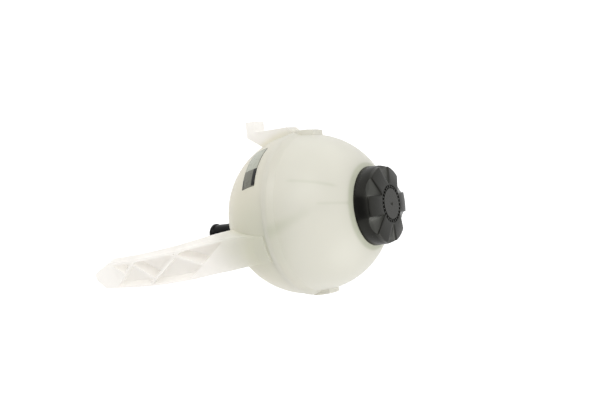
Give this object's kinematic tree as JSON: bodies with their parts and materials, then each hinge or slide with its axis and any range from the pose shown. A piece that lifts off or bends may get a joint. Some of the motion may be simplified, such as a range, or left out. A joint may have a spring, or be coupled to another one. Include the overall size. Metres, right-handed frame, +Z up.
{
  "type": "coolant expansion tank",
  "caption": "Ball-shaped translucent coolant expansion tank with a long lattice mounting leg, a hook tab, a hose spigot and a lobed black screw cap with pressure and vacuum valves.",
  "frame": {"origin": "middle of the leg's tongue, where the tank is held in its bracket", "axes": "+Z up along the filler neck, +X from the hook tab's side towards the far side, +Y towards the return nipple"},
  "size_m": [0.1579, 0.1745, 0.262],
  "materials": {
    "tank_plastic": "satin, translucent",
    "cap_plastic": "satin moulded",
    "spigot_plastic": "moulded",
    "label_film": "gloss film",
    "valve_plastic": "moulded",
    "seal_rubber": "smooth",
    "spring_steel": "drawn wire",
    "stem_brass": "turned"
  },
  "bodies": {
    "tank": {"lower_shell": "tank_plastic", "upper_shell": "tank_plastic", "label": "label_film", "outlet_spigot": "spigot_plastic", "outlet_seal": "seal_rubber"},
    "cap_insert": {"cap_plug": "valve_plastic", "plug_seal": "seal_rubber", "spring_retainer": "valve_plastic", "pressure_spring": "spring_steel"},
    "cap": {"cap_shell": "cap_plastic"},
    "pressure_valve": {"pressure_plate": "valve_plastic", "pressure_gasket": "seal_rubber", "vacuum_spring": "spring_steel"},
    "vacuum_valve": {"vacuum_stem": "stem_brass", "vacuum_washer": "seal_rubber"}
  },
  "joints": [
    {"name": "cap_lift", "type": "slide", "parent": "tank", "child": "cap_insert", "axis": [0, 0, 1], "range_m": [0, 0.006]},
    {"name": "cap_turn", "type": "hinge", "parent": "cap_insert", "child": "cap", "pos_m": [-0.03249, 0.07654, 0.242], "axis": [0, 0, 1], "range_deg": [0, 720]},
    {"name": "pressure_lift", "type": "slide", "parent": "cap_insert", "child": "pressure_valve", "axis": [0, 0, 1], "range_m": [0, 0.0025], "stiffness_N_per_m": 3000, "springref_m": -0.0106, "deforming": ["pressure_spring"]},
    {"name": "vacuum_drop", "type": "slide", "parent": "pressure_valve", "child": "vacuum_valve", "axis": [0, 0, -1], "range_m": [0, 0.0015], "stiffness_N_per_m": 250, "springref_m": -0.002, "deforming": ["vacuum_spring"]}
  ],
  "couplings": [
    {"joint": "cap_turn", "follows": "cap_lift", "rad_per_m": 2094.4}
  ]
}
